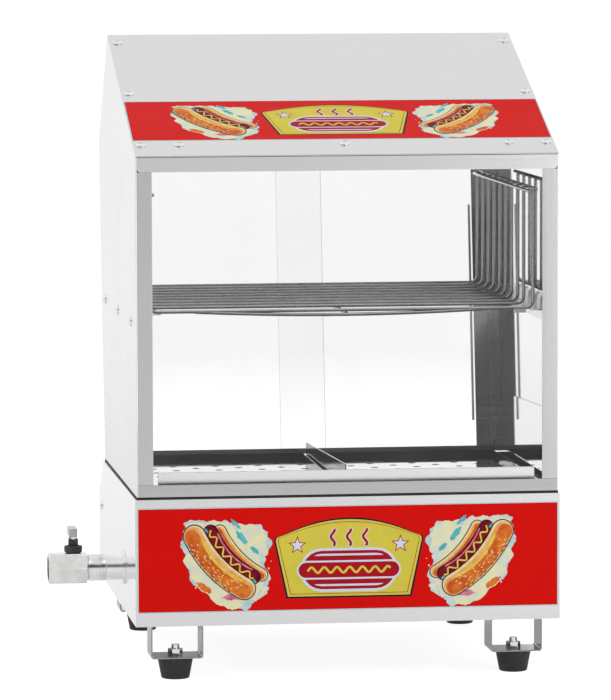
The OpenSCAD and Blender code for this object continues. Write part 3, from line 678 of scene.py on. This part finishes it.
def valve_lever():
    """Flanged black collar and waisted neck on the stem, under a metal lever with a folded side."""
    collar, arm, cap = NodeBox("valve_lever"), NodeBox("valve_handle"), NodeBox("valve_screw")
    stem = NodeBox("valve_ball").mid
    base = Matrix.Translation((stem.x, stem.y, collar.lo.z))
    shape = Shape()
    flange = [(7.4, 0.0), (8.9, 1.1), (9.2, 2.4), (9.2, 6.6), (8.8, 7.3), (7.2, 7.5), (6.0, 7.0)]
    shape.tube(millimetres(flange), 4.1 * MM, 48, base)
    neck = [(4.7, -4.0), (4.7, 5.0), (4.0, 8.5), (-4.0, 8.5), (-4.7, 5.0), (-4.7, -4.0)]
    tall = collar.size.z
    shape.prism(millimetres(neck), 6.8 * MM, tall - 1.6 * MM, matrix=base)
    shape.lathe([(3.6 * MM, tall - 2.2 * MM), (3.6 * MM, tall)], base, sides=32)
    shape.build("lever_collar", [LOOKS["black"]], "valve", replaces=("valve_lever",),
                bevel=0.0005)
    half, tip = 4.3 * MM, arm.hi.y - stem.y - 9 * MM
    height = cap.hi.z - arm.lo.z
    place = Matrix.Translation((stem.x, stem.y, arm.lo.z))
    outline = arc((0, 0), half, 180, 360, 16) + arc((0, tip - half), half, 0, 180, 16)
    shape = Shape()
    shape.prism(outline, 0, height, matrix=place)
    shape.box((-half, -3.4 * MM, 0.5 * MM - 8.6 * MM), (-half + 1.6 * MM, 7 * MM, 0.5 * MM), matrix=place)
    shape.build("lever_arm", [LOOKS["lever"]], "valve",
                replaces=("valve_handle", "valve_screw"), bevel=0.0009)


# ---- Rear controls ----

PANEL = NodeBox("control_panel")
PANEL_TURN = Matrix.Rotation(-math.atan2(PANEL.size.z, PANEL.size.y), 4, "X")
PANEL_OUT = PANEL_TURN @ Z_AXIS


def control_knob():
    """Fluted dial knob with a raised grip bar and a white pointer line."""
    shaft = NodeBox("thermostat_shaft")
    knob = NodeBox("thermostat_knob")
    foot = knob.mid - PANEL_OUT * 7.4 * MM
    matrix = Matrix.Translation((shaft.mid.x, foot.y, foot.z)) @ PANEL_TURN

    def fluted(radius):
        return lambda a: radius * MM * (1 - 0.025 * (0.5 + 0.5 * math.cos(28 * a)))

    shape = Shape()
    skirt = [(fluted(18.4), 0.0), (fluted(19.0), 0.6), (fluted(19.0), 3.0), (18.4, 3.7), (15.9, 4.0),
             (15.6, 5.4), (14.9, 6.0)]
    shape.lathe(millimetres(skirt), matrix, sides=112)
    bar = arc((0, 10.5), 4.3, 0, 180, 10) + arc((0, -10.5), 4.3, 180, 360, 10)
    shape.prism(millimetres(bar), 5.5 * MM, 14.9 * MM, matrix=matrix)
    shape.box((-0.6 * MM, 4 * MM, 14.7 * MM), (0.6 * MM, 14 * MM, 15.05 * MM), slot=1, matrix=matrix)
    shape.build("control_knob", [LOOKS["black"], LOOKS["ptfe"]], "dial",
                replaces=("thermostat_knob",), bevel=0.0004)
    return matrix


def dial_marks(matrix):
    """Printed heat scale round the knob: short marks that grow longer towards hot."""
    shape = Shape()
    count = 11
    for i in range(count):
        a = math.radians(-135 + 270 * i / (count - 1))
        inner, outer = 21.0 * MM, (23.0 + 0.14 * i) * MM
        spin = matrix @ Matrix.Rotation(-a, 4, "Z")
        half = 0.4 * MM
        shape.box((-half, inner, -1.5 * MM), (half, outer, -1.44 * MM), matrix=spin)
    shape.build("dial_marks", [LOOKS["black"]], "cabinet")


def pilot_lamp():
    """Amber lamp with a bright bezel and a stepped lens."""
    lamp = NodeBox("pilot_lamp")
    middle = Vector((lamp.mid.x, PANEL.mid.y, PANEL.mid.z)) + PANEL_OUT * 0.5 * MM
    matrix = Matrix.Translation(middle) @ PANEL_TURN
    shape = Shape()
    lens = [(0.1, -18), (4.2, -18), (4.2, 0.2), (3.9, 2.6), (3.4, 3.6), (2.0, 4.3), (0.1, 4.5)]
    shape.lathe(millimetres(lens), matrix)
    bezel = [(5.5, 0.0), (5.5, 0.8), (5.1, 1.5), (4.6, 1.6)]
    shape.tube(millimetres(bezel), 4.25 * MM, 48, matrix, slot=1)
    shape.build("lamp_lens", [LOOKS["amber"], LOOKS["screws"]], "cabinet",
                replaces=("pilot_lamp",))


def cable_gland():
    """Nylon cord gland: hexagon flange and ribbed dome nut outside the wall, hexagon nut inside."""
    box = NodeBox("cable_gland")
    wall = NodeBox("base_rear")
    matrix = Matrix.Translation((box.mid.x, wall.hi.y, box.mid.z)) @ Matrix.Rotation(-math.pi / 2, 4, "X")
    reach, bore = box.hi.y - wall.hi.y, 4.2 * MM

    def hexed(a):
        return hexagon(a, 21 * MM, 11.6 * MM)

    def ribbed(radius):
        return lambda a: radius * (1 + 0.035 * math.cos(20 * a))

    shape = Shape()
    dome = [(hexed, 0.0), (hexed, 5.4), (10.2, 6.0), (ribbed(9.9 * MM), 6.8), (ribbed(9.4 * MM), 12.0),
            (8.2, 14.4), (6.4, reach / MM)]
    nut = [(7.9, -9.0), (7.9, -6.4), (hexed, -6.2), (hexed, -1.3), (7.9, -1.2), (7.9, 0.0)]
    for outer in (dome, nut):
        shape.tube(millimetres(outer), bore, 120, matrix)
    shape.build("cord_gland", [LOOKS["black"]], "cabinet", replaces=("cable_gland",),
                sharp=30)


# ---- Printed panels ----

# Name, colour, second colour, scale of the mottling, and its contrast where there is no second colour
INKS = {row[0]: print_ink(*row) for row in (
    ("red", (221, 26, 22), None, 45, 0.03),
    ("border", (176, 222, 226), None, 45, 0.05),
    ("yellow", (222, 207, 80), None, 45, 0.06),
    ("navy", (22, 40, 66), None, 45, 0.1),
    ("maroon", (176, 32, 44), None, 45, 0.08),
    ("pale", (216, 228, 244), None, 45, 0.05),
    ("splash", (240, 235, 186), (222, 226, 206), 60),
    ("rim", (178, 212, 218), (214, 226, 222), 120),
    ("cream", (250, 226, 168), (240, 206, 140), 150),
    ("bun", (230, 132, 56), (204, 88, 40), 110),
    ("bun_light", (240, 190, 130), (228, 158, 92), 120),
    ("sausage", (140, 34, 34), (92, 22, 40), 120),
    ("plum", (104, 22, 40), (140, 34, 50), 140),
    ("mustard", (246, 214, 92), (232, 184, 60), 200),
    ("cyan", (60, 170, 186), (110, 200, 206), 150),
    ("pink", (206, 84, 120), (226, 150, 160), 150),
)}
INK_NAMES = list(INKS)
# Each layer of ink stands this much higher than the one below it
INK_STEP = 0.018 * MM


def grow(outline, by):
    """Moves a closed outline outwards by a distance, or inwards where it is negative."""
    n = len(outline)
    result = []
    for i in range(n):
        before, after = Vector(outline[i - 1]), Vector(outline[(i + 1) % n])
        ahead = (after - before).normalized()
        result.append((outline[i][0] + ahead.y * by, outline[i][1] - ahead.x * by))
    return result


def star(centre, radius):
    """A star with five points, one of them upwards."""
    points = []
    for i in range(10):
        a = math.radians(90 + 36 * i)
        r = radius if i % 2 == 0 else radius * 0.42
        points.append((centre[0] + r * math.cos(a), centre[1] + r * math.sin(a)))
    return points


def badge(width, height, inset):
    """Plate with an arched top and sides that lean in towards the bottom."""
    top, bottom = width / 2 - inset, width * 0.42 - inset
    shoulder = height * 0.22
    low, high = inset - height / 2, height / 2 - inset
    points = [(-bottom, low), (bottom, low)]
    corner = 4.5
    points += arc((top - corner, shoulder), corner, -15, 58, 6)
    steps = 24
    span = top - corner * 1.1
    rise = high - (shoulder + corner * 0.9)
    for i in range(1, steps):
        x = span * (1 - 2 * i / steps)
        points.append((x, shoulder + corner * 0.9 + rise * (1 - (x / span) ** 2)))
    points += arc((-top + corner, shoulder), corner, 122, 195, 6)
    return points


def spine(length, bend, steps=26):
    """A gently bent centreline from left to right, with its tangent angle at each point."""
    points = []
    for i in range(steps + 1):
        t = 2 * i / steps - 1
        points.append((length / 2 * t, -bend * (1 - t * t), math.atan2(4 * bend * t, length)))
    return points


def bent_bar(length, width, bend, shift=0.0):
    """A bar with round ends along a bent centreline, moved sideways by shift."""
    upper, lower = [], []
    half = width / 2
    line = spine(length - width, bend)
    for x, y, a in line:
        normal = (-math.sin(a), math.cos(a))
        upper.append((x + normal[0] * (shift + half), y + normal[1] * (shift + half)))
        lower.append((x + normal[0] * (shift - half), y + normal[1] * (shift - half)))
    ends = []
    for (x, y, a), turn in ((line[-1], 0), (line[0], 180)):
        centre = (x - math.sin(a) * shift, y + math.cos(a) * shift)
        middle = math.degrees(a) + turn
        ends.append(arc(centre, half, middle - 90, middle + 90, 10)[1:-1])
    return lower + ends[0] + upper[::-1] + ends[1]


def zigzag(length, swing, width, bend, waves):
    """A wavy ribbon along the bent centreline, with a number of whole waves."""
    upper, lower = [], []
    steps = round(waves * 18)
    turn = math.pi * waves
    for i in range(steps + 1):
        t = 2 * i / steps - 1
        x, y = length / 2 * t, -bend * (1 - t * t) + swing * math.sin(turn * t + 1.2)
        slope = (4 * bend * t + 2 * swing * turn * math.cos(turn * t + 1.2)) / length
        a = math.atan(slope)
        upper.append((x - math.sin(a) * width / 2, y + math.cos(a) * width / 2))
        lower.append((x + math.sin(a) * width / 2, y - math.cos(a) * width / 2))
    return lower + upper[::-1]


def splash(radius_x, radius_y, rng, rough=0.06):
    """An irregular paint patch: an oval with a ragged edge."""
    phases = [rng.uniform(0, 6.28) for _ in range(6)]
    points = []
    steps = 140
    for i in range(steps):
        a = 2 * math.pi * i / steps
        wobble = 1.0
        for k, phase in enumerate(phases):
            wobble += rough * math.sin((2 + 3 * k) * a + phase) / (1 + 0.45 * k)
        wobble += rng.uniform(-0.018, 0.018)
        points.append((radius_x * wobble * math.cos(a), radius_y * wobble * math.sin(a)))
    return points


class Artwork:
    """Layers of flat ink on a panel, in millimetres from the panel's centre."""

    def __init__(self):
        self.layers = []

    def ink(self, name, outline, level):
        area = sum(a[0] * b[1] - b[0] * a[1] for a, b in zip(outline, outline[1:] + outline[:1]))
        self.layers.append((name, outline if area > 0 else outline[::-1], level))

    def placed(self, name, outline, level, centre, angle, mirror):
        c, s = math.cos(math.radians(angle)), math.sin(math.radians(angle))
        moved = []
        for x, y in outline:
            u, v = c * x - s * y, s * x + c * y
            moved.append((centre[0] + u * mirror, centre[1] + v))
        self.ink(name, moved, level)


def hot_dog_picture(art, centre, size, mirror):
    """A painted hot dog on a splash of pale colour, with loose dabs and dashes round it."""
    rng = random.Random(7)
    k = size / 92
    levels = itertools.count(2)

    def put(name, outline, angle=-47, offset=(0, 0), level=None, along=0):
        place = (centre[0] + offset[0] * k * mirror, centre[1] + offset[1] * k)
        art.placed(name, [((x + along) * k, y * k) for x, y in outline],
                   next(levels) if level is None else level, place, angle, mirror)

    def dab(name, x, y, long, wide, angle=-47):
        put(name, splash(long, wide, rng, 0.12), angle=angle, offset=(x, y))

    for x, y, long, wide, angle in ((-24, 25, 20, 12, -25), (18, 15, 23, 20, 0), (20, -30, 21, 12, 12),
                                    (-3, -4, 46, 36, -47)):
        put("rim", splash(long + 1.4, wide + 1.4, rng), angle=angle, offset=(x, y))
        put("splash", splash(long, wide, rng), angle=angle, offset=(x, y))
    for x, y, long, wide in ((14, 22, 8, 3), (27, 9, 5, 2.4), (-14, -20, 5, 2.4), (8, 36, 6, 1.8)):
        dab("cyan", x, y, long, wide)
    dab("pink", 4, -38, 9, 3, 5)
    dab("bun", -24, -28, 9, 3, -40)
    dab("pink", 16, -34, 5, 2, 30)
    bend = 5.5
    put("navy", grow(bent_bar(82, 12, bend, 14.5), 0.9), along=4)
    for ink, long, wide, shift in (("cream", 82, 12, 14.5), ("bun_light", 80, 10, 13.7),
                                   ("bun", 77, 7.5, 13)):
        put(ink, bent_bar(long, wide, bend, shift), along=4)
    put("navy", grow(bent_bar(81, 13.5, bend, 7), 0.8), along=-1)
    put("sausage", bent_bar(81, 13.5, bend, 7), along=-1)
    put("plum", bent_bar(74, 8, bend, 8.2), along=-1)
    put("pink", bent_bar(60, 1.5, bend, 11.4), along=-1)
    for end in (-1, 1):
        put("cyan", [(end * 35.5 + x, y + 4.4) for x, y in splash(2.4, 1.2, rng, 0.1)], along=-1)
    for ink, long, wide in (("navy", 66, 2.5), ("mustard", 65.4, 1.6)):
        put(ink, [(x, y + 7) for x, y in zigzag(long, 2.7, wide, bend, 5.5)], along=-1)
    put("navy", grow(bent_bar(90, 21.5, bend, -8.5), 1.0), along=-4)
    for ink, long, wide, shift in (("cream", 90, 21.5, -8.5), ("bun_light", 88.5, 18.5, -9.4),
                                   ("bun", 85, 14.5, -10.8), ("mustard", 56, 2.6, -5.2)):
        put(ink, bent_bar(long, wide, bend, shift), along=-4)
    seeds = next(levels)
    for _ in range(44):
        u, v = rng.uniform(-34, 34), rng.uniform(-16.5, -5)
        drop = -bend * (1 - (u / 40) ** 2) + v
        seed = [(u + dx * 1.2, drop + dy * 0.5) for dx, dy in arc((0, 0), 1, 0, 315, 7)]
        put("cream", seed, level=seeds, along=-4)
    for i in range(13):
        u = -33 + 5.5 * i
        drop = -bend * (1 - (u / 40) ** 2) - 18.0
        dash = [(u + dx * 1.8, drop + dy * 0.5) for dx, dy in arc((0, 0), 1, 0, 315, 7)]
        put("sausage" if i % 3 else "cyan", dash, level=seeds + 1, along=-4)
    for _ in range(16):
        a, far = rng.uniform(0, 6.28), rng.uniform(38, 46)
        dot = arc((math.cos(a) * far, math.sin(a) * far * 0.9), rng.uniform(0.5, 1.1), 0, 315, 7)
        put("splash", dot, level=2, angle=0)


def badge_picture(art, width, height):
    """Yellow badge with two stars and a plain pictogram of a hot dog under three wisps of steam."""
    for level, (ink, inset) in enumerate((("navy", 0), ("yellow", 1.7), ("maroon", 3.9), ("yellow", 4.5)), 2):
        art.ink(ink, badge(width, height, inset), level)
    for side in (-1, 1):
        art.ink("maroon", star((side * width * 0.345, height * 0.16), 9.6), 6)
        art.ink("pale", star((side * width * 0.345, height * 0.16), 7.2), 7)
    k = height / 79
    flat = 0.01

    def put(name, outline, level, shift=(0, -12)):
        art.ink(name, [(x * k + shift[0] * k, y * k + shift[1] * k) for x, y in outline], level)

    put("pale", grow(bent_bar(92, 38, flat), 2.6), 6)
    put("maroon", bent_bar(92, 38, flat), 7)
    put("pale", bent_bar(86, 32, flat), 8)
    put("maroon", bent_bar(82, 10, flat, 9.0), 9)
    put("maroon", bent_bar(82, 10, flat, -9.0), 9)
    put("pale", grow(bent_bar(100, 15, flat), 1.8), 10)
    put("maroon", bent_bar(100, 15, flat), 11)
    put("yellow", zigzag(82, 2.7, 2.2, flat, 6.5), 12)
    for x in (-16, 0, 16):
        wisp = zigzag(17, 1.9, 2.6, flat, 1.25)
        upright = [(-v, u) for u, v in wisp]
        put("pale", grow(upright, 0.8), 6, shift=(x, 20))
        put("maroon", upright, 7, shift=(x, 20))


def printed_panel(name, node_name, matrix, width, height):
    """A printed vinyl panel: pale border, red field, two pictures and the badge."""
    art = Artwork()
    edge = 0.9
    badge_width, picture_x = 149, 120.5
    half_w, half_h = width / 2, height / 2

    def sheet(inset):
        w, h = half_w - inset, half_h - inset
        return [(-w, -h), (w, -h), (w, h), (-w, h)]

    art.ink("red", sheet(edge), 1)
    badge_picture(art, badge_width, height * 0.765)
    for side in (-1, 1):
        hot_dog_picture(art, (side * picture_x, 0), height * 0.87, -side)
    shape = Shape()
    thick = 0.35 * MM
    shape.prism(millimetres(sheet(0)), 0, thick, INK_NAMES.index("border"), matrix)
    for ink, outline, level in art.layers:
        shape.prism(millimetres(outline), thick - 0.01 * MM, thick + level * INK_STEP,
                    INK_NAMES.index(ink), matrix)
    shape.build(name, list(INKS.values()), "cabinet", replaces=(node_name,), sharp=30)


def printed_panels():
    """One panel upright on the base's front, and one on the roof's slope."""
    base = NodeBox("base_banner")
    upright = Matrix.Rotation(math.pi / 2, 4, "X")
    printed_panel("base_print", "base_banner",
                  Matrix.Translation((base.mid.x, base.hi.y, base.mid.z)) @ upright,
                  base.size.x / MM, base.size.z / MM)
    roof = NodeBox("roof_banner")
    slope = Matrix.Rotation(ROOF_ANGLE, 4, "X")
    out = slope @ Z_AXIS
    length = (roof.size.y - 0.5 * MM * math.sin(ROOF_ANGLE)) / math.cos(ROOF_ANGLE)
    printed_panel("roof_print", "roof_banner",
                  Matrix.Translation(roof.mid - out * 0.25 * MM) @ slope,
                  roof.size.x / MM, length / MM)


# ---- Stage, light and camera ----


def add_floor():
    """A round pale floor that fades out, lit enough to show only soft contact shadows."""
    reach = 3.5
    mesh = bpy.data.meshes.new("floor")
    rim = arc((0, 0), reach, 0, 360, 96)[:-1]
    mesh.from_pydata([(x, y, 0) for x, y in rim], [], [list(range(len(rim)))])
    material, tree, shader = new_material("floor_paper")
    clouds = noise(tree, 0.8, detail=2)
    tree.links.new(blend_colours(tree, clouds, (0.54, 0.54, 0.54, 1), (0.58, 0.58, 0.58, 1)),
                   shader.inputs["Base Color"])
    shader.inputs["Roughness"].default_value = 0.9
    shader.inputs["Specular IOR Level"].default_value = 0.0
    shader.inputs["Emission Color"].default_value = (1, 1, 1, 1)
    seen = node(tree, "ShaderNodeLightPath").outputs["Is Camera Ray"]
    tree.links.new(remap(tree, seen, 0, 1, 0.38, 0.85), shader.inputs["Emission Strength"])
    place = node(tree, "ShaderNodeTexCoord").outputs["Object"]
    far = node(tree, "ShaderNodeVectorMath", {0: place}, operation="LENGTH").outputs["Value"]
    tree.links.new(remap(tree, far, reach, 0.25 * reach), shader.inputs["Alpha"])
    mesh.materials.append(material)
    floor = bpy.data.objects.new("floor", mesh)
    bpy.context.scene.collection.objects.link(floor)


def add_world():
    """A white studio with a dark gap above the camera, paler to the right, which steel mirrors."""
    world = bpy.data.worlds.new("studio")
    bpy.context.scene.world = world
    world.use_nodes = True
    tree = world.node_tree
    place = node(tree, "ShaderNodeTexCoord").outputs["Generated"]
    parts = node(tree, "ShaderNodeSeparateXYZ", {"Vector": place}).outputs
    height = parts["Z"]
    front = remap(tree, times(tree, parts["Y"], -1.0), 0.3, 0.7)
    gap = times(tree, remap(tree, height, 0.03, 0.09), remap(tree, height, 0.58, 0.45))
    dark = times(tree, times(tree, front, gap), remap(tree, parts["X"], 0.05, 0.55, 1.0, 0.45))
    level = remap(tree, parts["Y"], -0.2, 0.3, 0.85, 1.0)
    pale = node(tree, "ShaderNodeCombineColor", {"Red": level, "Green": level, "Blue": level})
    mirrored = blend_colours(tree, dark, pale.outputs["Color"], (0.06, 0.06, 0.065, 1))
    seen = node(tree, "ShaderNodeLightPath").outputs["Is Camera Ray"]
    tint = blend_colours(tree, seen, mirrored, (1.0, 1.0, 1.0, 1))
    background = tree.nodes["Background"]
    tree.links.new(tint, background.inputs["Color"])
    background.inputs["Strength"].default_value = 1.0


def add_lamp(name, place, aim, size, power):
    """A soft rectangular lamp turned towards a point."""
    lamp = bpy.data.lights.new(name, "AREA")
    lamp.shape = "RECTANGLE"
    lamp.size, lamp.size_y = size
    lamp.energy = power
    made = bpy.data.objects.new(name, lamp)
    bpy.context.scene.collection.objects.link(made)
    made.location = place
    made.rotation_euler = (Vector(aim) - Vector(place)).to_track_quat("-Z", "Y").to_euler()


def add_camera():
    """Stands a little to the left and above, far off with a long lens."""
    azimuth, elevation = math.radians(7.29), math.radians(5.02)
    roll = math.radians(-0.16)
    distance = 5.151
    aim = Vector((0.0219, 0.0, 0.3086))
    forward = Vector((math.sin(azimuth) * math.cos(elevation), math.cos(azimuth) * math.cos(elevation),
                      -math.sin(elevation)))
    camera = bpy.data.cameras.new("camera")
    camera.sensor_fit = "VERTICAL"
    camera.sensor_height = 24.0
    camera.lens = 171.8
    camera.clip_end = 60.0
    made = bpy.data.objects.new("camera", camera)
    bpy.context.scene.collection.objects.link(made)
    turn = forward.to_track_quat("-Z", "Y").to_matrix().to_4x4() @ Matrix.Rotation(roll, 4, "Z")
    made.matrix_world = Matrix.Translation(aim - forward * distance) @ turn
    bpy.context.scene.camera = made


def add_studio():
    """Floor, surroundings, two soft lamps and the camera."""
    bpy.context.scene.view_settings.view_transform = "Standard"
    add_floor()
    add_world()
    add_lamp("key", (-2.2, -1.6, 2.8), (0, 0, 0.3), (2.2, 1.6), 10)
    add_lamp("fill", (1.15, -1.5, 0.55), (0.2, 0, 0.3), (1.2, 1.0), 5)
    add_camera()


finish_kept_nodes()
bun_rack()
rubber_feet()
foot_brackets()
valve_body()
drain_coupling()
valve_lever()
dial_marks(control_knob())
pilot_lamp()
cable_gland()
printed_panels()
add_studio()
